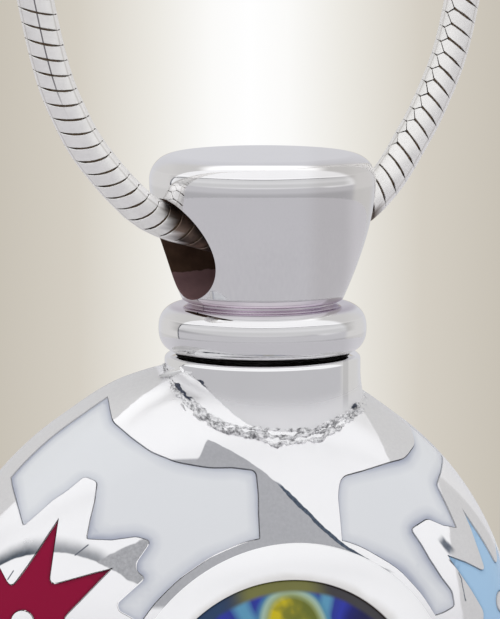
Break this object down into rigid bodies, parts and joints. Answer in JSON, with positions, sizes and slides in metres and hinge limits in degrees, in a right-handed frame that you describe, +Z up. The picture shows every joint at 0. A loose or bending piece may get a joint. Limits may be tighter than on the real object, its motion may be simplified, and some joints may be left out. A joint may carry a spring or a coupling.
{
  "type": "cremation pendant on a snake chain",
  "caption": "Round silver flask pendant with enamel stars and a glass cabochon; its screw cap hangs on a closed loop of snake chain.",
  "frame": {"origin": "underside of the clasp at the top of the chain's loop, where the necklace hangs", "axes": "+Z up; the loop lies in the XZ plane and the bore of the cap runs along X; the flask's front faces -Y, turned 10 degrees about Z towards -X"},
  "size_m": [0.078, 0.0134, 0.2243],
  "materials": {
    "polished_silver": "mirror-polished sterling silver",
    "chain_silver": "bright silver plates with dark gaps between them",
    "white_enamel": "smooth vitreous enamel, faintly blue towards its edges",
    "crimson_enamel": "smooth glossy vitreous enamel",
    "sky_enamel": "smooth glossy vitreous enamel",
    "cabochon_glass": "deep blue glass with swirls of light blue and yellow-green"
  },
  "bodies": {
    "chain": {"chain": "chain_silver", "clasp": "polished_silver"},
    "cap": {"cap": "polished_silver"},
    "vessel": {"vessel": "polished_silver", "glass": "cabochon_glass", "enamel_upper_left": "white_enamel", "enamel_upper_right": "white_enamel", "enamel_left": "white_enamel", "enamel_bottom": "white_enamel", "enamel_right": "white_enamel", "star_upper_left": "crimson_enamel", "star_upper_right": "sky_enamel", "star_lower_left": "sky_enamel", "star_lower_right": "crimson_enamel"}
  },
  "joints": [
    {"name": "pendant_swing", "type": "hinge", "parent": "chain", "child": "cap", "pos_m": [0, 0, -0.19635], "axis": [1, 0, 0], "range_deg": [-60, 60]},
    {"name": "cap_lift_off", "type": "slide", "parent": "cap", "child": "vessel", "axis": [0, 0, -1], "range_m": [0, 0.006]}
  ]
}
